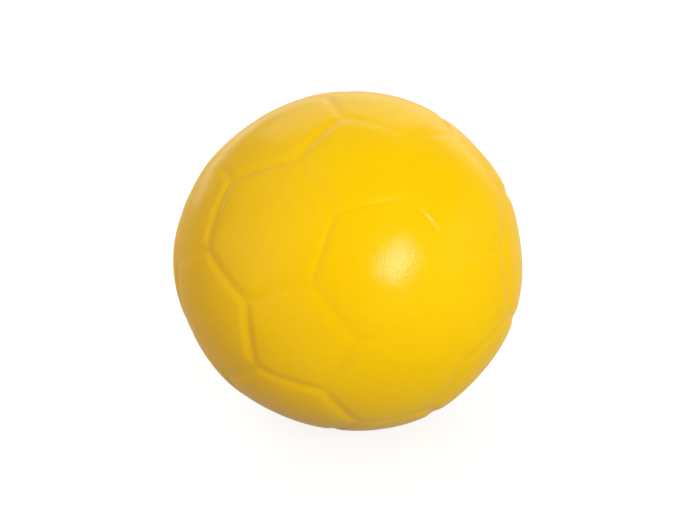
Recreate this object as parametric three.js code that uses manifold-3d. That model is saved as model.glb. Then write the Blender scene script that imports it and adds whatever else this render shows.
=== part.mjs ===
// Foam soccer ball, in millimetres, +Z up, with its origin at the ball's centre.
//
// The ball is one moulding of soft foam. Where the foam met the mould it is a tough skin, and the
// 32-panel seam pattern is pressed into that skin as soft grooves. Inside is the light cellular core.
// The mould was filled through a small gate, and the sprue was cut off there, level with the skin.
import * as THREE from 'three';
import { mergeGeometries, mergeVertices } from 'three/addons/utils/BufferGeometryUtils.js';
import Module from 'manifold-3d';

// Ball
const BALL_DIAMETER = 190;
const SKIN_THICKNESS = 1.5;
const SKIN_TO_FOAM_GAP = 0.3;

// Seam grooves: a rounded channel, in panels that roll off softly towards it
const GROOVE_DEPTH = 0.7;
const GROOVE_WIDTH = 11;
const ROLL_OFF_DEPTH = 0.3;
const ROLL_OFF_WIDTH = 12;

// How sharply a panel's corners are rounded: a higher number is a sharper corner
const CORNER_SHARPNESS = 4;

// Pour gate: a round opening in the skin, which the trimmed sprue of the core fills
const GATE_DIAMETER = 9;
const GATE_GAP = 0.3;
const GATE_TRIM_BELOW_SKIN = 0.6;
const GATE_EDGE_BEVEL = 0.6;

// The gate is in the middle of the pentagon nearest to this direction: under the ball, towards +Y
const TOWARDS_GATE = new THREE.Vector3(0, 1, -2);

// Fineness of the faceted surfaces
const SKIN_STEPS_PER_SEAM = 3;
const INSIDE_STEPS_PER_SEAM = 2;
const GATE_SIDES = 32;

// Points closer than this are one: corners of the pattern, on the unit sphere, and points of the ball
const SAME_CORNER = 1e-4;
const SAME_POINT = 1e-3;

const ballRadius = BALL_DIAMETER / 2;
const grooveHalfWidth = GROOVE_WIDTH / 2;
const foamDepth = SKIN_THICKNESS + SKIN_TO_FOAM_GAP;

// How far from its seam each ring of vertices lies, in a panel whose centre is a given reach away
function skinRings(reach) {
  return [
    0,
    grooveHalfWidth / 3,
    grooveHalfWidth * 2 / 3,
    grooveHalfWidth,
    (grooveHalfWidth + ROLL_OFF_WIDTH) / 2,
    ROLL_OFF_WIDTH,
    (ROLL_OFF_WIDTH + reach) / 2,
  ];
}

function insideRings(reach) {
  return [0, grooveHalfWidth, ROLL_OFF_WIDTH, (ROLL_OFF_WIDTH + reach) / 2];
}

// Seam pattern: a truncated icosahedron. Each corner of the icosahedron is cut off to a pentagon, and
// each of its faces becomes a hexagon. A panel is its centre and its seams. Its points stay where they
// are on the icosahedron, whose own corners lie on the unit sphere, and only their directions matter.

// The point a third of the way from one corner of the icosahedron to the next
function thirdPoint(from, to) {
  return from.clone().lerp(to, 1 / 3);
}

function makePanel(corners, seams) {
  const centre = new THREE.Vector3();
  for (const corner of corners) {
    centre.addScaledVector(corner, 1 / corners.length);
  }
  return { centre, seams };
}

function icosahedronFaces() {
  const points = new THREE.IcosahedronGeometry(1, 0).getAttribute('position');
  const faces = [];
  for (let first = 0; first < points.count; first += 3) {
    faces.push([0, 1, 2].map((step) => new THREE.Vector3().fromBufferAttribute(points, first + step)));
  }
  return faces;
}

function hexagonPanel([a, b, c]) {
  const corners = [
    thirdPoint(a, b), thirdPoint(b, a), thirdPoint(b, c),
    thirdPoint(c, b), thirdPoint(c, a), thirdPoint(a, c),
  ];
  const seams = corners.map((corner, index) => [corner, corners[(index + 1) % corners.length]]);
  return makePanel(corners, seams);
}

function pentagonPanel(cutOff, faces) {
  const seams = [];
  for (const face of faces) {
    const at = face.findIndex((corner) => corner.distanceTo(cutOff) < SAME_CORNER);
    if (at >= 0) {
      const next = face[(at + 1) % 3];
      const last = face[(at + 2) % 3];
      seams.push([thirdPoint(cutOff, next), thirdPoint(cutOff, last)]);
    }
  }
  return makePanel(seams.map(([start]) => start), seams);
}

function distinctCorners(faces) {
  const found = [];
  for (const corner of faces.flat()) {
    if (!found.some((other) => other.distanceTo(corner) < SAME_CORNER)) {
      found.push(corner);
    }
  }
  return found;
}

const faces = icosahedronFaces();
const hexagons = faces.map(hexagonPanel);
const pentagons = distinctCorners(faces).map((corner) => pentagonPanel(corner, faces));
const panels = [...hexagons, ...pentagons];

// Distance along the ball from a direction to the nearest seam of its panel. The seams are blended, so
// lines of equal distance turn round a panel's corners, and a point on a seam is still at distance 0.
function distanceToSeam(direction, panel) {
  let blend = 0;
  for (const [start, end] of panel.seams) {
    const sideways = start.clone().cross(end).normalize();
    const distance = ballRadius * Math.asin(Math.abs(direction.dot(sideways)));
    if (distance < SAME_POINT) {
      return 0;
    }
    blend += distance ** -CORNER_SHARPNESS;
  }
  return blend ** (-1 / CORNER_SHARPNESS);
}

// Radius of the skin's outer surface at a distance from the nearest seam
function skinRadius(distance) {
  const across = Math.min(distance / grooveHalfWidth, 1);
  const groove = GROOVE_DEPTH * Math.cos(across * Math.PI / 2) ** 2;
  const towardsPanel = Math.min(distance / ROLL_OFF_WIDTH, 1);
  const rollOff = ROLL_OFF_DEPTH * (1 - towardsPanel) ** 2;
  return ballRadius - groove - rollOff;
}

// One panel's share of a closed surface that lies a set depth under the skin. Each seam and the panel's
// centre make a sector, filled with rings that run parallel to the seam.
function panelSurface(panel, ringsFor, stepsPerSeam, depthUnderSkin) {
  const positions = [];
  const addFace = (...corners) => {
    for (const corner of corners) {
      positions.push(corner.x, corner.y, corner.z);
    }
  };
  for (const [start, end] of panel.seams) {
    const middle = start.clone().add(end).multiplyScalar(0.5);
    const panelReach = ballRadius * middle.angleTo(panel.centre);
    const rings = ringsFor(panelReach);
    const place = (ring, step) => {
      const onSeam = start.clone().lerp(end, step / stepsPerSeam);
      const direction = onSeam.lerp(panel.centre, rings[ring] / panelReach).normalize();
      const radius = skinRadius(distanceToSeam(direction, panel)) - depthUnderSkin;
      return direction.multiplyScalar(radius);
    };
    const innermost = rings.length - 1;
    const centreDirection = panel.centre.clone().normalize();
    const centreRadius = skinRadius(distanceToSeam(centreDirection, panel)) - depthUnderSkin;
    const centrePoint = centreDirection.multiplyScalar(centreRadius);
    for (let step = 0; step < stepsPerSeam; step += 1) {
      for (let ring = 0; ring < innermost; ring += 1) {
        addFace(place(ring, step), place(ring, step + 1), place(ring + 1, step + 1));
        addFace(place(ring, step), place(ring + 1, step + 1), place(ring + 1, step));
      }
      addFace(place(innermost, step), place(innermost, step + 1), centrePoint);
    }
  }
  const geometry = new THREE.BufferGeometry();
  geometry.setAttribute('position', new THREE.Float32BufferAttribute(positions, 3));
  return geometry;
}

// The whole ball at a set depth under its skin
function ballSurface(ringsFor, stepsPerSeam, depthUnderSkin) {
  const surfaces = panels.map((panel) => panelSurface(panel, ringsFor, stepsPerSeam, depthUnderSkin));
  return mergeGeometries(surfaces);
}

// Solids

const wasm = await Module();
wasm.setup();

function solidFrom(geometry) {
  const bare = geometry.clone();
  bare.deleteAttribute('normal');
  bare.deleteAttribute('uv');
  const merged = mergeVertices(bare, SAME_POINT);
  return new wasm.Manifold(new wasm.Mesh({
    numProp: 3,
    vertProperties: new Float32Array(merged.getAttribute('position').array),
    triVerts: new Uint32Array(merged.getIndex().array),
  }));
}

function geometryFrom(solid) {
  const mesh = solid.getMesh();
  const geometry = new THREE.BufferGeometry();
  geometry.setAttribute('position', new THREE.BufferAttribute(mesh.vertProperties, 3));
  geometry.setIndex(new THREE.BufferAttribute(mesh.triVerts, 1));
  return geometry;
}

// A turned shape round the gate's own axis, whose profile runs outwards from the ball's centre
function turnedAboutGate(profile) {
  const geometry = new THREE.LatheGeometry(profile.map(([x, y]) => new THREE.Vector2(x, y)), GATE_SIDES);
  const upright = new THREE.Vector3(0, 1, 0);
  geometry.applyQuaternion(new THREE.Quaternion().setFromUnitVectors(upright, gateAxis));
  return geometry;
}

function nearestPanel(choices, direction) {
  return choices.reduce((best, panel) => (
    panel.centre.dot(direction) > best.centre.dot(direction) ? panel : best
  ));
}

const gatePanel = nearestPanel(pentagons, TOWARDS_GATE);
const gateAxis = gatePanel.centre.clone().normalize();
const gateSkinRadius = skinRadius(distanceToSeam(gateAxis, gatePanel));
const gateHoleRadius = GATE_DIAMETER / 2;
const gateStubRadius = gateHoleRadius - GATE_GAP;
const gateFaceRadius = gateSkinRadius - GATE_TRIM_BELOW_SKIN;

// The hole from the ball's centre out through the skin. Its edge has a bevel of 45 degrees, which runs on
// above the skin as far as it reaches below it.
function gateHole() {
  const bevelFoot = gateSkinRadius - GATE_EDGE_BEVEL;
  const bevelTop = gateSkinRadius + GATE_EDGE_BEVEL;
  return turnedAboutGate([
    [0, 0],
    [gateHoleRadius, 0],
    [gateHoleRadius, bevelFoot],
    [gateHoleRadius + bevelTop - bevelFoot, bevelTop],
    [0, bevelTop],
  ]);
}

// The sprue's stub on the core, cut off flat
function gateStub() {
  return turnedAboutGate([
    [0, 0],
    [gateStubRadius, 0],
    [gateStubRadius, gateFaceRadius],
    [0, gateFaceRadius],
  ]);
}

function skinGeometry() {
  const outside = solidFrom(ballSurface(skinRings, SKIN_STEPS_PER_SEAM, 0));
  const inside = solidFrom(ballSurface(insideRings, INSIDE_STEPS_PER_SEAM, SKIN_THICKNESS));
  return geometryFrom(outside.subtract(inside).subtract(solidFrom(gateHole())));
}

function foamCoreGeometry() {
  const foam = solidFrom(ballSurface(insideRings, INSIDE_STEPS_PER_SEAM, foamDepth));
  return geometryFrom(foam.add(solidFrom(gateStub())));
}

// Materials

const yellowSkin = new THREE.MeshStandardMaterial({ color: 0xfbcb0a, roughness: 0.42, metalness: 0 });
const yellowFoam = new THREE.MeshStandardMaterial({ color: 0xf2c84b, roughness: 0.95, metalness: 0 });

// The ball

function namedMesh(name, geometry, material) {
  const mesh = new THREE.Mesh(geometry, material);
  mesh.name = name;
  return mesh;
}

const ball = new THREE.Group();
ball.add(namedMesh('skin', skinGeometry(), yellowSkin));
ball.add(namedMesh('foam_core', foamCoreGeometry(), yellowFoam));

export default ball;
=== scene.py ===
import math

import bpy
import numpy as np
from mathutils import Matrix, Vector, kdtree, noise


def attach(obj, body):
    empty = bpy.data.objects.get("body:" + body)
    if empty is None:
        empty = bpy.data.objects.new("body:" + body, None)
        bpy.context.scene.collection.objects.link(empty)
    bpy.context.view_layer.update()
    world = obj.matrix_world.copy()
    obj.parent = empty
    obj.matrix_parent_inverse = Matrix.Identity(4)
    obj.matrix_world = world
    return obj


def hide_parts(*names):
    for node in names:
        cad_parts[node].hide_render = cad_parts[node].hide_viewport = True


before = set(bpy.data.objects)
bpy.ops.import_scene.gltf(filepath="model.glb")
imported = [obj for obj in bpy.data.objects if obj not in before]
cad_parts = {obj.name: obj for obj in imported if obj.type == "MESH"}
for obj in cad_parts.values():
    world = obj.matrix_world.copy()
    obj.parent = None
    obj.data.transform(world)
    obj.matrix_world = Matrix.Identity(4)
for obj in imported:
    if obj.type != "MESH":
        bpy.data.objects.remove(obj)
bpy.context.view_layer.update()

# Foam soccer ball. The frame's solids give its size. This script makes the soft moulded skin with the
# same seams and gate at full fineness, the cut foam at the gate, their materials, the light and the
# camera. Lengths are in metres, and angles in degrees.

MM = 0.001

# Ball, from the frame's skin: its largest radius is at the middle of a panel
BALL_RADIUS = max(vertex.co.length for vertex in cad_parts["skin"].data.vertices)
SKIN_THICKNESS = 1.5 * MM
SKIN_TO_FOAM_GAP = 0.3 * MM

# Seam grooves, as the solids have them: a rounded channel, in panels that roll off softly towards it
GROOVE_DEPTH = 0.7 * MM
GROOVE_WIDTH = 11 * MM
ROLL_OFF_DEPTH = 0.3 * MM
ROLL_OFF_WIDTH = 12 * MM

# How sharply a panel's corners are rounded: a higher number is a sharper corner. The seams are blended
# for it, and the smallest sine keeps the blend finite on a seam itself.
CORNER_SHARPNESS = 4
SMALLEST_SINE = 1e-7

# Seam pattern: an icosahedron whose corners have the coordinates 0, 1 and the golden ratio has edges of
# this length
GOLDEN_RATIO = (1 + math.sqrt(5)) / 2
ICOSAHEDRON_EDGE = 2
SAME_LENGTH = 1e-6

# Where the seams came out of the mould fainter or crisper than round them: azimuth, elevation, share of
# the depth, and reach
SEAM_PATCHES = [
    (7, 35, 0.25, 40),
    (41, 62, 0.4, 17),
    (11, 0, 0.15, 23),
    (-98, 47, 0.2, 11),
    (-37, -15, 0.8, 12),
    (-21, -30, 0.95, 8),
    (0, -41, 0.4, 12),
    (36, -15, 0.7, 12),
    (0, 89, 1.2, 12),
    (-71, 35, 1.25, 10),
    (-82, 17, 0.35, 9),
    (-48, 0, 1.4, 9),
    (-30, 68, 1.5, 12),
    (-58, 54, 1.4, 9),
    (-18, -9, 1.6, 9),
    (23, 68, 0.65, 9),
    (-37, 16, 0.7, 8),
    (-56, 19, 0.8, 9),
]

# Where a fine crease runs along the bottom of a seam: azimuth, elevation, share of a crease's full
# depth, and reach
CREASES = [(4, 43, 0.9, 9), (21, 32, 1.1, 7), (-21, 32, 1.2, 12)]
CREASE_DEPTH = 0.38 * MM
CREASE_WIDTH = 5 * MM

# Pour gate, in the middle of the pentagon nearest to this direction: under the ball, towards +Y
TOWARDS_GATE = Vector((0, 1, -2))
GATE_HOLE_RADIUS = 4.5 * MM
GATE_STUB_RADIUS = 4.2 * MM
GATE_TRIM_BELOW_SKIN = 0.6 * MM
GATE_EDGE_RADIUS = 0.6 * MM

# Foam's cut face: its cells, how far from its middle a cell is open as a share of its size, the share of
# the face that has cells, and how near a point is to the face to be on it
FOAM_CELL_SIZE = 0.8 * MM
FOAM_CELL_DEPTH = 0.35 * MM
FOAM_CELL_REACH = 0.55
CELLED_SHARE = 0.97
ON_FACE = 0.01 * MM

# The ball is a little out of round, as soft foam is: azimuth, elevation, height and reach of each swell
SWELLS = [
    (-99, 6, 1.7 * MM, 16),
    (-99, 7, 0.6 * MM, 45),
    (-106, 21, 0.8 * MM, 14),
    (-47, -53, -1.2 * MM, 22),
    (59, -22, 1.0 * MM, 22),
    (58, -25, 0.9 * MM, 40),
    (79, 15, 1.2 * MM, 25),
    (-147, 63, -1.2 * MM, 20),
    (28, -51, 1.1 * MM, 14),
    (88, 33, -0.8 * MM, 14),
    (-66, -44, -0.7 * MM, 12),
    (127, 65, -0.5 * MM, 12),
    (74, 6, -0.9 * MM, 14),
    (-125, 50, -0.7 * MM, 10),
]

# Slow wander of the moulded surface, so that no groove is ruler-straight. Its three parts, along X, Y
# and Z, are read from the same noise at places that are these shifts apart.
WANDER = 0.5 * MM
WANDER_REACH = 45 * MM
WANDER_SHIFTS = [Vector((0, 0, 0)), Vector((5.2, 1.3, 8.1)), Vector((9.7, 6.4, 2.8))]

# Shallow unevenness of the skin, which breaks up its shine: height and reach of each layer
UNEVENNESS = [(0.10 * MM, 16 * MM), (0.035 * MM, 6 * MM)]

# Fineness: grid steps from a panel's corner to the middle of its seams, which crowd towards the seams,
# and steps round the gate. The skin's are a multiple of the inside's, so that the two surfaces join.
SKIN_STEPS = 20
INSIDE_STEPS = 5
FOAM_STEPS = 10
GRID_CROWDING = 1.8
GATE_EDGE_STEPS = 6
GATE_STUB_STEPS = 4
STEPS_PER_FOAM_CELL = 3

# Points nearer to each other than this are one
WELD_DISTANCE = 0.0005 * MM

# Camera, as the photograph is taken: the ball's outline is a circle of this place and size in it
CAMERA_AZIMUTH = -12.25
CAMERA_ELEVATION = 25.56
CAMERA_ROLL = -6.11
CAMERA_DISTANCE = 10 * BALL_RADIUS
CAMERA_CLIP_START = 0.01
CAMERA_CLIP_END = 50
IMAGE_WIDTH = 700
IMAGE_HEIGHT = 520
OUTLINE_CENTRE_PX = (348.9, 260.9)
OUTLINE_RADIUS_PX = 171.4
SENSOR_WIDTH = 36

# Skin: its linear colours, and how much of the darker ones the mottle, the grooves and the deep pits take.
# The deep yellow is both the mottle's own tone and painted shade in the grooves; the dark brown is painted
# shade in the deep pits.
SKIN_YELLOW = (0.95, 0.57, 0.0005)
SKIN_YELLOW_PALE = (0.96, 0.59, 0.001)
# Deep yellow: the mottle's own tone, and also the painted shade in the grooves
SKIN_YELLOW_DEEP_AND_GROOVE_SHADE = (0.91, 0.495, 0.0005)
# Dark brown painted as shade inside the deep pits
PIT_PAINTED_SHADE_BROWN = (0.42, 0.20, 0.01)
MOTTLE_TINT = 0.25
# Share of the deep yellow painted into the grooves as shade
GROOVE_PAINTED_SHADE = 0.2
# Share of the dark brown painted into the deep pits as shade
DEEP_PIT_PAINTED_SHADE = 0.6

# Skin: the size of its patterns, and the spacing and radius of its pits
CLOUD_SIZE = 38 * MM
MOTTLE_SIZE = 5 * MM
MOTTLE_DETAIL = 3.0
GRAIN_SIZE = 1.5 * MM
PITS = (2.2 * MM, 0.35 * MM)
DEEP_PITS = (12 * MM, 0.4 * MM)

# Skin: between which values of a pattern, from 0 to 1, what it does comes in
CLOUDS_PALE = (0.3, 0.7)
MOTTLE_TINTED = (0.4, 0.8)
MOTTLE_ROUGH = (0.3, 0.7)
MOTTLE_PITTED = (0.5, 0.62)
# The grooves' painted shade comes in over this range of their depth
GROOVE_PAINTED_SHADE_RANGE = (0.4, 1.0)

# Skin: its roughness, and its relief in millimetres. The thin film that gives the shine has more grain.
SKIN_ROUGHNESS = (0.45, 0.55)
GRAIN_ROUGHNESS = 0.1
GRAIN_RELIEF = 0.045
MOTTLE_RELIEF = 0.015
PIT_DEPTH = 0.03
DEEP_PIT_DEPTH = 0.1
SKIN_FILM = 0.26
SKIN_FILM_ROUGHNESS = 0.16
FILM_GRAIN_RELIEF = 0.11

# Foam: its linear colours, with the shadow colour painted as shade in the cells' depths, its cells with the
# fine ones between them, and their relief in millimetres
FOAM_YELLOW = (0.86, 0.56, 0.07)
FOAM_YELLOW_PALE = (0.92, 0.66, 0.14)
FOAM_SHADOW = (0.45, 0.22, 0.02)
FOAM_CLOUD_SIZE = 3 * MM
FOAM_CELLS = (FOAM_CELL_SIZE, 0.45 * FOAM_CELL_SIZE)
FOAM_FINE_CELLS = (0.4 * FOAM_CELL_SIZE, 0.16 * FOAM_CELL_SIZE)
FOAM_CELL_PAINTED_SHADE = 0.7
FOAM_FINE_CELL_PAINTED_SHADE = 0.4
FOAM_CELL_RELIEF = 0.12
FOAM_ROUGHNESS = 0.95
FOAM_GLOSS = 0.1

# Light from all round. The level of a light is that of a white surface that faces it.
WHITE = (1, 1, 1, 1)
WORLD_LEVEL = 0.38

# The side of the room towards the lamp, which reflections show dark: azimuth and elevation of its middle,
# its level, and the angles from its middle at which the dark begins and is full
DARK_SIDE = (35, 25)
DARK_SIDE_LEVEL = 0.12
DARK_SIDE_EDGES = (95, 55)

# Tints of the lamps: the photograph's light is warmer at the left than from above
NEUTRAL = (1, 1, 1)
COOL = (0.85, 1.0, 0.95)
WARM = (1.25, 0.65, 0.55)
LAMP_DISTANCE = 3

# Floor: how far it reaches, its grey, and the glow that makes it white where it is seen. Near the ball
# the glow leaves room for the lamps' light, and it grows to full between the distances of the fade.
FLOOR_REACH = 6
FLOOR_GREY = (0.3, 0.3, 0.3, 1)
FLOOR_GLOW = 0.81
FLOOR_FADE = (0.8, 3)


def direction(azimuth, elevation):
    """Unit vector from the ball to an azimuth and elevation. Azimuth 0 is the -Y side, 90 the +X side."""
    a, e = math.radians(azimuth), math.radians(elevation)
    return Vector((math.sin(a) * math.cos(e), -math.cos(a) * math.cos(e), math.sin(e)))


# Seam pattern: a truncated icosahedron. A panel is its centre and its corners in order, all in one plane.

def icosahedron():
    """The corners, and each face as its three corners."""
    corners = []
    for one in (-1, 1):
        for long in (-GOLDEN_RATIO, GOLDEN_RATIO):
            corners += [Vector((0, one, long)), Vector((one, long, 0)), Vector((long, 0, one))]
    faces = []
    for i, a in enumerate(corners):
        for j, b in enumerate(corners[:i]):
            for c in corners[:j]:
                sides = [(p - q).length for p, q in ((a, b), (b, c), (c, a))]
                if all(abs(side - ICOSAHEDRON_EDGE) < SAME_LENGTH for side in sides):
                    faces.append((a, b, c))
    return corners, faces


def third_point(a, b):
    """The point a third of the way from one corner to another."""
    return a.lerp(b, 1 / 3)


def make_panel(corners):
    """A panel of these corners, in counter-clockwise order seen from outside the ball."""
    centre = sum(corners, Vector()) / len(corners)
    first = corners[0] - centre
    second = centre.normalized().cross(first)
    ordered = sorted(corners, key=lambda p: math.atan2((p - centre).dot(second), (p - centre).dot(first)))
    return {"centre": centre, "corners": ordered}


def seam_panels():
    """The hexagons, from the icosahedron's faces, and the pentagons, from its corners."""
    corners, faces = icosahedron()
    hexagons = []
    for a, b, c in faces:
        sides = ((a, b), (b, a), (b, c), (c, b), (c, a), (a, c))
        hexagons.append(make_panel([third_point(p, q) for p, q in sides]))
    pentagons = []
    for i, corner in enumerate(corners):
        reached = {corners.index(p) for face in faces if corner in face for p in face} - {i}
        pentagons.append(make_panel([third_point(corner, corners[j]) for j in sorted(reached)]))
    return hexagons, pentagons


hexagons, pentagons = seam_panels()
gate_panel = max(pentagons, key=lambda panel: panel["centre"].dot(TOWARDS_GATE))
gate_axis = gate_panel["centre"].normalized()


def seam_distance(units, panel):
    """Distance along the ball from unit vectors to the nearest seam of their panel. The seams are
    blended, so that lines of equal distance turn round a panel's corners."""
    corners = np.array(panel["corners"])
    sideways = np.cross(corners, np.roll(corners, -1, axis=0))
    sideways /= np.linalg.norm(sideways, axis=1, keepdims=True)
    distances = BALL_RADIUS * np.arcsin(np.clip(np.abs(units @ sideways.T), SMALLEST_SINE, 1))
    return (distances ** -CORNER_SHARPNESS).sum(axis=1) ** (-1 / CORNER_SHARPNESS)


def skin_drop(distance):
    """How far the skin lies below the ball's round form, at a distance from the nearest seam."""
    across = np.minimum(distance / (GROOVE_WIDTH / 2), 1)
    groove = GROOVE_DEPTH * np.cos(across * math.pi / 2) ** 2
    towards_panel = np.minimum(distance / ROLL_OFF_WIDTH, 1)
    return groove + ROLL_OFF_DEPTH * (1 - towards_panel) ** 2


def nearness(units, azimuth, elevation, reach):
    """1 at a place on the ball, and falling away to 0 over its reach."""
    angle = np.degrees(np.arccos(np.clip(units @ np.array(direction(azimuth, elevation)), -1, 1)))
    return np.exp(-((angle / reach) ** 2))


def seam_strength(units):
    """The share of their full depth that the seams have at each place."""
    strength = np.ones(len(units))
    for azimuth, elevation, share, reach in SEAM_PATCHES:
        strength *= 1 - (1 - share) * nearness(units, azimuth, elevation, reach)
    return strength


def crease_drop(distance, units):
    """How far the creases press in the bottom of the seams."""
    across = np.minimum(distance / (CREASE_WIDTH / 2), 1)
    share = sum(s * nearness(units, azimuth, elevation, reach) for azimuth, elevation, s, reach in CREASES)
    return CREASE_DEPTH * share * np.cos(across * math.pi / 2) ** 2


def on_ball(flat, panel, depth):
    """Points of a panel's plane, moved out to the skin or to a depth under it. Each row of the result
    is x, y, z and how far the seams' grooves press that place in."""
    flat = np.asarray(flat, float).reshape(-1, 3)
    units = flat / np.linalg.norm(flat, axis=1, keepdims=True)
    distance = seam_distance(units, panel)
    drop = skin_drop(distance) * seam_strength(units) + crease_drop(distance, units)
    return np.column_stack([units * (BALL_RADIUS - drop - depth)[:, None], drop])


# Meshes

class Surface:
    """A surface, gathered grid by grid. Each point is x, y, z and its depth in a groove."""

    def __init__(self):
        self.blocks = []
        self.faces = []
        self.count = 0

    def add_points(self, points):
        """Adds points and returns the number of the first one."""
        first = self.count
        self.blocks.append(points)
        self.count += len(points)
        return first

    def add_grid(self, points, columns):
        """Quads over rows of points, that face the side from which the next row is on the left."""
        first = self.add_points(points)
        for row in range(len(points) // columns - 1):
            for column in range(columns - 1):
                at = first + row * columns + column
                self.faces.append((at, at + 1, at + columns + 1, at + columns))

    def add_fan(self, ring, tip):
        """Triangles from a ring of points to one point."""
        first = self.add_points(np.vstack([ring, tip]))
        for at in range(len(ring) - 1):
            self.faces.append((first + at, first + at + 1, first + len(ring)))

    def add_bridge(self, fine, coarse):
        """Triangles between two rings that run side by side. The fine one has a multiple of the steps
        of the coarse one."""
        first_fine = self.add_points(fine)
        first_coarse = self.add_points(coarse)
        ratio = (len(fine) - 1) // (len(coarse) - 1)
        middle = (ratio + 1) // 2
        for step in range(len(coarse) - 1):
            here = first_coarse + step
            start = first_fine + step * ratio
            for at in range(ratio):
                near = here if at < middle else here + 1
                self.faces.append((start + at, start + at + 1, near))
            self.faces.append((start + middle, here + 1, here))

    def add_turned_in(self, other):
        """Adds another surface, facing the other way."""
        first = self.add_points(np.vstack(other.blocks))
        self.faces += [tuple(first + at for at in reversed(face)) for face in other.faces]

    def welded(self):
        """All the points once each, and the faces with the points that coincide joined."""
        points = np.vstack(self.blocks)
        tree = kdtree.KDTree(len(points))
        for at, point in enumerate(points):
            tree.insert(point[:3], at)
        tree.balance()
        first = [min(at for _, at, _ in tree.find_range(p[:3], WELD_DISTANCE)) for p in points]
        keep, where = np.unique(first, return_inverse=True)
        faces = []
        for face in self.faces:
            ring = [int(where[at]) for at in face]
            ring = [at for place, at in enumerate(ring) if at != ring[place - 1]]
            if len(ring) > 2:
                faces.append(ring)
        return points[keep], faces


def crowded(steps):
    """Places from 0 to 1 that lie closer together near 0, where the seam is."""
    return [(step / steps) ** GRID_CROWDING for step in range(steps + 1)]


def add_panel(surface, panel, steps, depth):
    """A panel as one square grid for each corner: from the corner to the middles of its two seams and
    the panel's centre."""
    corners, centre = panel["corners"], panel["centre"]
    places = crowded(steps)
    for at, corner in enumerate(corners):
        before = corner.lerp(corners[at - 1], 0.5)
        after = corner.lerp(corners[(at + 1) % len(corners)], 0.5)
        rows = [
            [corner.lerp(after, along).lerp(before.lerp(centre, along), inward) for along in places]
            for inward in places
        ]
        surface.add_grid(on_ball(rows, panel, depth), len(places))


def seam_ring(panel, steps):
    """The points along all the seams of a panel, back to the first one."""
    corners = panel["corners"]
    half = [place / 2 for place in crowded(steps)]
    shares = half + [1 - share for share in reversed(half[:-1])]
    ring = []
    for at, corner in enumerate(corners):
        ring += [corner.lerp(corners[(at + 1) % len(corners)], share) for share in shares[:-1]]
    return ring + ring[:1]


def gate_circle(ring, radius):
    """The points of a circle round the gate, in the gate panel's plane, each in line with one of a ring."""
    centre = gate_panel["centre"]
    flat_radius = radius * centre.length / BALL_RADIUS
    return [centre + (point - centre).normalized() * flat_radius for point in ring]


def add_gate_panel(surface, steps, depth, radius):
    """The gate's panel, from its seams to a circle round the gate. Returns the circle's points."""
    ring = seam_ring(gate_panel, steps)
    circle = gate_circle(ring, radius)
    rows = [[a.lerp(b, inward) for a, b in zip(ring, circle)] for inward in crowded(steps)]
    surface.add_grid(on_ball(rows, gate_panel, depth), len(ring))
    return on_ball(circle, gate_panel, depth)


def ball_surface(steps, depth, gate_radius):
    """The whole ball at a depth under its skin, and the points of the circle where it is open at the
    gate."""
    surface = Surface()
    for panel in hexagons + pentagons:
        if panel is not gate_panel:
            add_panel(surface, panel, steps, depth)
    return surface, add_gate_panel(surface, steps, depth, gate_radius)


def gate_ring(circle, radius, height):
    """A ring of points round the gate's axis, each in line with one of a circle, at a height from the
    ball's centre that may differ from point to point."""
    axis = np.array(gate_axis)
    across = circle[:, :3] - np.outer(circle[:, :3] @ axis, axis)
    across /= np.linalg.norm(across, axis=1, keepdims=True)
    ring = across * radius + np.outer(np.broadcast_to(height, len(circle)), axis)
    return np.column_stack([ring, circle[:, 3]])


def height_of(points):
    """Height of each point along the gate's axis, from the ball's centre."""
    return points[:, :3] @ np.array(gate_axis)


def skin_surface():
    """The skin, outside and inside, with the rounded edge and the wall of the gate's opening."""
    lip_radius = GATE_HOLE_RADIUS + GATE_EDGE_RADIUS
    skin, lip = ball_surface(SKIN_STEPS, 0, lip_radius)
    inside, root = ball_surface(INSIDE_STEPS, SKIN_THICKNESS, lip_radius)
    skin.add_turned_in(inside)
    rows = [lip]
    for step in range(1, GATE_EDGE_STEPS + 1):
        turn = math.radians(90 * step / GATE_EDGE_STEPS)
        radius = GATE_HOLE_RADIUS + GATE_EDGE_RADIUS * (1 - math.sin(turn))
        rows.append(gate_ring(lip, radius, height_of(lip) - GATE_EDGE_RADIUS * (1 - math.cos(turn))))
    bottom = gate_ring(lip, GATE_HOLE_RADIUS, height_of(root).min())
    rows.append(bottom)
    skin.add_grid(np.vstack(rows), len(lip))
    skin.add_bridge(bottom, root)
    return skin


def foam_surface():
    """The foam core, with the stub that fills the gate's opening and its cut face."""
    foam, foot = ball_surface(FOAM_STEPS, SKIN_THICKNESS + SKIN_TO_FOAM_GAP, GATE_STUB_RADIUS)
    face_height = BALL_RADIUS - GATE_TRIM_BELOW_SKIN
    rows = [foot]
    for step in range(1, GATE_STUB_STEPS + 1):
        share = step / GATE_STUB_STEPS
        rows.append(gate_ring(foot, GATE_STUB_RADIUS, height_of(foot) * (1 - share) + face_height * share))
    rings = round(GATE_STUB_RADIUS / FOAM_CELL_SIZE * STEPS_PER_FOAM_CELL)
    for step in range(1, rings):
        rows.append(gate_ring(foot, GATE_STUB_RADIUS * (1 - step / rings), face_height))
    foam.add_grid(np.vstack(rows), len(foot))
    foam.add_fan(rows[-1], np.append(np.array(gate_axis) * face_height, foot[0, 3]))
    return foam


def uneven_outside(points):
    """Adds the skin's shallow unevenness to its outer surface."""
    radius = np.linalg.norm(points, axis=1)
    outer = radius > BALL_RADIUS - GROOVE_DEPTH - ROLL_OFF_DEPTH - SKIN_THICKNESS / 2
    lift = np.zeros(len(points))
    for height, reach in UNEVENNESS:
        lift[outer] += [height * noise.noise(Vector(p) / reach) for p in points[outer]]
    return points + points / radius[:, None] * lift[:, None]


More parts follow.
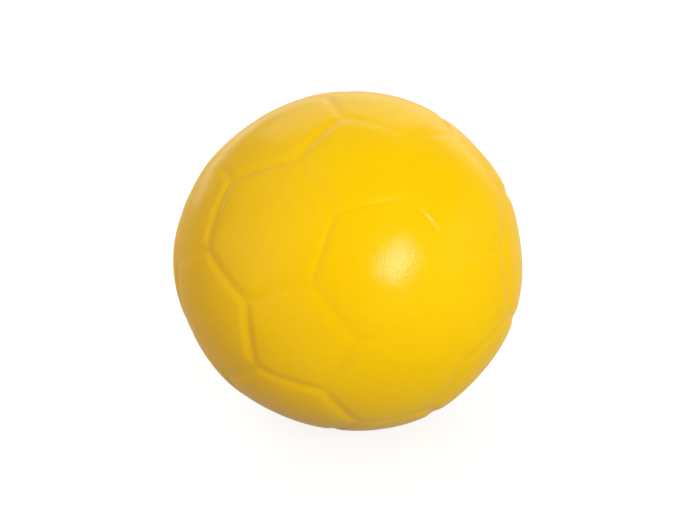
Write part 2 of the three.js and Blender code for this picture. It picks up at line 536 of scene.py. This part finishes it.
def cut_cells(points):
    """Opens the foam's cells in the face that was cut at the gate."""
    axis = np.array(gate_axis)
    height = points @ axis
    from_axis = np.linalg.norm(points - np.outer(height, axis), axis=1)
    on_face = (np.abs(height - height.max()) < ON_FACE) & (from_axis < GATE_STUB_RADIUS * CELLED_SHARE)
    for at in np.nonzero(on_face)[0]:
        nearest = noise.voronoi(Vector(points[at]) / FOAM_CELL_SIZE)[0][0]
        points[at] -= axis * FOAM_CELL_DEPTH * max(0.0, 1 - nearest / FOAM_CELL_REACH)
    return points


def swell(points):
    """Adds the ball's slow unevenness to every surface alike: its swells and its wander."""
    units = points / np.linalg.norm(points, axis=1, keepdims=True)
    grown = points.copy()
    for azimuth, elevation, height, reach in SWELLS:
        grown += units * height * nearness(units, azimuth, elevation, reach)[:, None]
    drift = [[noise.noise(Vector(p) / WANDER_REACH + shift) for shift in WANDER_SHIFTS] for p in points]
    return grown + WANDER * np.array(drift)


def make_piece(name, surface, detail, material):
    """An object of a surface: the detail of its own is put on first, then the swell of the whole ball."""
    points, faces = surface.welded()
    places = swell(detail(points[:, :3].copy()))
    mesh = bpy.data.meshes.new(name)
    mesh.from_pydata(places.tolist(), [], faces)
    mesh.update()
    mesh.polygons.foreach_set("use_smooth", [True] * len(mesh.polygons))
    depth = mesh.attributes.new("groove_depth", "FLOAT", "POINT")
    depth.data.foreach_set("value", points[:, 3] / (GROOVE_DEPTH + ROLL_OFF_DEPTH))
    mesh.materials.append(material)
    piece = bpy.data.objects.new(name, mesh)
    bpy.context.scene.collection.objects.link(piece)
    return piece


# Materials

class Shade:
    """The nodes of a material or of the world, and a short way to add them: an input is given a value or
    another node's output. Its place is where on the object, or in which direction, it is shaded."""

    # Sockets of the node that mixes two colours
    MIX_SHARE, MIX_FIRST, MIX_SECOND, MIX_RESULT = 0, 6, 7, 2

    def __init__(self, owner, coordinates="Object"):
        self.owner = owner
        owner.use_nodes = True
        self.tree = owner.node_tree
        self.tree.nodes.clear()
        self.place = self.add("ShaderNodeTexCoord").outputs[coordinates]

    def add(self, kind, inputs=(), **settings):
        node = self.tree.nodes.new(kind)
        for name, value in settings.items():
            setattr(node, name, value)
        for name, value in dict(inputs).items():
            if isinstance(value, bpy.types.NodeSocket):
                self.tree.links.new(value, node.inputs[name])
            else:
                node.inputs[name].default_value = value
        return node

    def math(self, operation, *values):
        return self.add("ShaderNodeMath", enumerate(values), operation=operation).outputs[0]

    def vector_math(self, operation, *vectors):
        return self.add("ShaderNodeVectorMath", enumerate(vectors), operation=operation).outputs

    def weighted_sum(self, *terms):
        """The sum of some values, each times its weight."""
        total = 0.0
        for value, weight in terms:
            total = self.math("ADD", total, self.math("MULTIPLY", value, weight))
        return total

    def remap(self, value, low, high, to_low=0.0, to_high=1.0):
        """A smooth step of a value from one range to another."""
        inputs = {"Value": value, "From Min": low, "From Max": high, "To Min": to_low, "To Max": to_high}
        return self.add("ShaderNodeMapRange", inputs, interpolation_type="SMOOTHSTEP").outputs[0]

    def noise(self, size, detail=2.0):
        """Cloudy noise from 0 to 1, with blotches of about this size."""
        inputs = {"Vector": self.place, "Scale": 1 / size, "Detail": detail}
        return self.add("ShaderNodeTexNoise", inputs).outputs[0]

    def pits(self, spacing, radius):
        """1 in the middle of round pits that lie about this far apart, and 0 outside their radius."""
        inputs = {"Vector": self.place, "Scale": 1 / spacing}
        from_pit = self.add("ShaderNodeTexVoronoi", inputs).outputs["Distance"]
        return self.remap(from_pit, 0.0, radius / spacing, 1.0, 0.0)

    def tint(self, colour, towards, pattern, amount=1.0):
        """A colour, or another node's, tinted towards another colour by an amount of a pattern."""
        inputs = {
            self.MIX_SHARE: self.math("MULTIPLY", pattern, amount),
            self.MIX_FIRST: (*colour, 1) if isinstance(colour, tuple) else colour,
            self.MIX_SECOND: (*towards, 1),
        }
        return self.add("ShaderNodeMix", inputs, data_type="RGBA").outputs[self.MIX_RESULT]

    def bump(self, relief):
        """Normals of a relief in millimetres."""
        return self.add("ShaderNodeBump", {"Height": relief, "Distance": MM}).outputs[0]

    def surface(self, inputs):
        """The finished material, with a surface of these inputs."""
        shader = self.add("ShaderNodeBsdfPrincipled", inputs).outputs[0]
        self.add("ShaderNodeOutputMaterial", {"Surface": shader})
        return self.owner


def skin_material():
    """Satin skin: a clear yellow with a faint mottle, a fine grain and pits, and with painted shade
    darkening the grooves and the deep pits.
    """
    shade = Shade(bpy.data.materials.new("moulded_skin"))
    clouds = shade.noise(CLOUD_SIZE)
    mottle = shade.noise(MOTTLE_SIZE, MOTTLE_DETAIL)
    grain = shade.noise(GRAIN_SIZE)
    pits = shade.math("MULTIPLY", shade.pits(*PITS), shade.remap(mottle, *MOTTLE_PITTED))
    deep_pits = shade.pits(*DEEP_PITS)
    depth = shade.add("ShaderNodeAttribute", attribute_name="groove_depth").outputs["Fac"]

    colour = shade.tint(SKIN_YELLOW, SKIN_YELLOW_PALE, shade.remap(clouds, *CLOUDS_PALE))
    colour = shade.tint(colour, SKIN_YELLOW_DEEP_AND_GROOVE_SHADE, shade.remap(mottle, *MOTTLE_TINTED), MOTTLE_TINT)
    # Painted shade: the grooves are darkened towards the deep yellow by their depth
    colour = shade.tint(colour, SKIN_YELLOW_DEEP_AND_GROOVE_SHADE, shade.remap(depth, *GROOVE_PAINTED_SHADE_RANGE), GROOVE_PAINTED_SHADE)
    # Painted shade: the deep pits are darkened towards dark brown
    colour = shade.tint(colour, PIT_PAINTED_SHADE_BROWN, deep_pits, DEEP_PIT_PAINTED_SHADE)

    dull = shade.remap(mottle, *MOTTLE_ROUGH, *SKIN_ROUGHNESS)
    relief = shade.weighted_sum(
        (grain, GRAIN_RELIEF), (mottle, MOTTLE_RELIEF), (pits, -PIT_DEPTH), (deep_pits, -DEEP_PIT_DEPTH)
    )
    film_relief = shade.weighted_sum((relief, 1.0), (grain, FILM_GRAIN_RELIEF))
    return shade.surface({
        "Base Color": colour,
        "Roughness": shade.weighted_sum((dull, 1.0), (grain, GRAIN_ROUGHNESS)),
        "Normal": shade.bump(relief),
        "Specular IOR Level": 0.0,
        "Coat Weight": SKIN_FILM,
        "Coat Roughness": SKIN_FILM_ROUGHNESS,
        "Coat Normal": shade.bump(film_relief),
    })


def foam_material():
    """Cut foam: dull, with open cells whose depths are darkened by painted shade."""
    shade = Shade(bpy.data.materials.new("cut_foam"))
    cells = shade.pits(*FOAM_CELLS)
    fine_cells = shade.pits(*FOAM_FINE_CELLS)
    colour = shade.tint(FOAM_YELLOW, FOAM_YELLOW_PALE, shade.noise(FOAM_CLOUD_SIZE))
    # Painted shade in the depths of the cells and of the fine cells
    colour = shade.tint(colour, FOAM_SHADOW, cells, FOAM_CELL_PAINTED_SHADE)
    colour = shade.tint(colour, FOAM_SHADOW, fine_cells, FOAM_FINE_CELL_PAINTED_SHADE)
    relief = shade.weighted_sum((cells, -FOAM_CELL_RELIEF), (fine_cells, -FOAM_CELL_RELIEF))
    return shade.surface({
        "Base Color": colour,
        "Roughness": FOAM_ROUGHNESS,
        "Normal": shade.bump(relief),
        "Specular IOR Level": FOAM_GLOSS,
    })


# Ball

skin = make_piece("ball_skin", skin_surface(), uneven_outside, skin_material())
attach(skin, "root")
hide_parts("skin")

foam = make_piece("ball_foam_core", foam_surface(), cut_cells, foam_material())
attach(foam, "root")
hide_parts("foam_core")


# Floor and light

def shows_background(shade):
    """1 for a ray that shows the background, straight or in a reflection, and 0 for one that lights."""
    path = shade.add("ShaderNodeLightPath").outputs
    reflected = shade.math("MAXIMUM", path["Is Glossy Ray"], path["Is Transmission Ray"])
    return shade.math("MAXIMUM", path["Is Camera Ray"], reflected)


def background_level(shade):
    """How bright the background is where it shows. Seen straight it is white. In reflections it is white
    but for the dark side of the room."""
    towards = shade.vector_math("NORMALIZE", shade.place)["Vector"]
    towards_dark = shade.vector_math("DOT_PRODUCT", towards, direction(*DARK_SIDE))["Value"]
    outer, inner = (math.cos(math.radians(angle)) for angle in DARK_SIDE_EDGES)
    reflected = shade.remap(towards_dark, outer, inner, 1.0, DARK_SIDE_LEVEL)
    straight = shade.add("ShaderNodeLightPath").outputs["Is Camera Ray"]
    return shade.math("MULTIPLY", shows_background(shade), shade.math("MAXIMUM", straight, reflected))


def make_world():
    """Even light from all round, in front of a white backdrop."""
    world = bpy.data.worlds.new("studio")
    bpy.context.scene.world = world
    shade = Shade(world, "Generated")
    lights = shade.math("SUBTRACT", 1.0, shows_background(shade))
    level = shade.math("ADD", background_level(shade), shade.math("MULTIPLY", lights, WORLD_LEVEL))
    background = shade.add("ShaderNodeBackground", {"Color": WHITE, "Strength": level})
    shade.add("ShaderNodeOutputWorld", {"Surface": background.outputs[0]})


def floor_material():
    """Pale, and white where it is seen, under the soft shadow. From below it can be seen through."""
    shade = Shade(bpy.data.materials.new("pale_floor"))
    from_ball = shade.vector_math("LENGTH", shade.place)["Value"]
    glow = shade.remap(from_ball, *FLOOR_FADE, FLOOR_GLOW, 1.0)
    inputs = {
        "Base Color": FLOOR_GREY,
        "Roughness": 1.0,
        "Specular IOR Level": 0.0,
        "Emission Color": WHITE,
        "Emission Strength": shade.math("MULTIPLY", background_level(shade), glow),
    }
    top = shade.add("ShaderNodeBsdfPrincipled", inputs).outputs[0]
    from_below = shade.add("ShaderNodeNewGeometry").outputs["Backfacing"]
    clear = shade.add("ShaderNodeBsdfTransparent").outputs[0]
    surface = shade.add("ShaderNodeMixShader", {0: from_below, 1: top, 2: clear}).outputs[0]
    shade.add("ShaderNodeOutputMaterial", {"Surface": surface})
    return shade.owner


def make_floor():
    """A plain floor under the lowest point of the ball."""
    mesh = bpy.data.meshes.new("floor")
    corners = [(-1, -1), (1, -1), (1, 1), (-1, 1)]
    height = min(vertex.co.z for vertex in skin.data.vertices)
    mesh.from_pydata([(x * FLOOR_REACH, y * FLOOR_REACH, height) for x, y in corners], [], [(0, 1, 2, 3)])
    mesh.materials.append(floor_material())
    floor = bpy.data.objects.new("floor", mesh)
    bpy.context.scene.collection.objects.link(floor)


def softbox(name, azimuth, elevation, width, height, level, turn=0, tint=NEUTRAL):
    """A rectangular soft light that faces the ball. A white surface at the ball that faces it shines at
    its level."""
    lamp = bpy.data.lights.new(name, "AREA")
    lamp.shape = "RECTANGLE"
    lamp.size = width
    lamp.size_y = height
    lamp.energy = level * (math.pi * LAMP_DISTANCE) ** 2
    lamp.color = tint
    box = bpy.data.objects.new(name, lamp)
    towards = direction(azimuth, elevation)
    facing = towards.to_track_quat("Z", "Y").to_matrix() @ Matrix.Rotation(math.radians(turn), 3, "Z")
    box.matrix_world = Matrix.Translation(towards * LAMP_DISTANCE) @ facing.to_4x4()
    box.visible_camera = False
    bpy.context.scene.collection.objects.link(box)


make_world()
make_floor()
softbox("key", azimuth=19.6, elevation=18.6, width=0.8, height=1.25, level=0.7, turn=-52)
softbox("fill", azimuth=-85, elevation=50, width=4, height=4, level=0.2, tint=COOL)
softbox("left", azimuth=-88, elevation=8, width=3, height=2, level=0.19, tint=WARM)
softbox("backdrop", azimuth=165, elevation=38, width=3, height=1.6, level=0.29)
softbox("rim", azimuth=152, elevation=8, width=3.2, height=1.4, level=0.23)
softbox("right", azimuth=70, elevation=2, width=2.5, height=2, level=0.11)
softbox("left_rim", azimuth=195, elevation=3, width=1.6, height=0.6, level=0.08)


# Camera

def make_camera():
    """The photograph's camera: the ball's round form fills the outline's circle, off the frame's middle."""
    data = bpy.data.cameras.new("camera")
    camera = bpy.data.objects.new("camera", data)
    bpy.context.scene.collection.objects.link(camera)
    bpy.context.scene.camera = camera
    outline_slope = BALL_RADIUS / math.sqrt(CAMERA_DISTANCE ** 2 - BALL_RADIUS ** 2)
    focal_px = OUTLINE_RADIUS_PX / outline_slope
    data.sensor_width = SENSOR_WIDTH
    data.lens = focal_px / IMAGE_WIDTH * SENSOR_WIDTH
    data.clip_start = CAMERA_CLIP_START
    data.clip_end = CAMERA_CLIP_END
    back = direction(CAMERA_AZIMUTH, CAMERA_ELEVATION)
    level_right = Vector((0, 0, 1)).cross(back).normalized()
    level_up = back.cross(level_right)
    turn = math.radians(CAMERA_ROLL)
    right = level_right * math.cos(turn) + level_up * math.sin(turn)
    up = level_up * math.cos(turn) - level_right * math.sin(turn)
    metres_per_px = CAMERA_DISTANCE / focal_px
    aside = (IMAGE_WIDTH / 2 - OUTLINE_CENTRE_PX[0]) * metres_per_px
    above = (OUTLINE_CENTRE_PX[1] - IMAGE_HEIGHT / 2) * metres_per_px
    place = back * CAMERA_DISTANCE + right * aside + up * above
    camera.matrix_world = Matrix.Translation(place) @ Matrix((right, up, back)).transposed().to_4x4()


make_camera()

scene = bpy.context.scene
scene.view_settings.view_transform = "Standard"
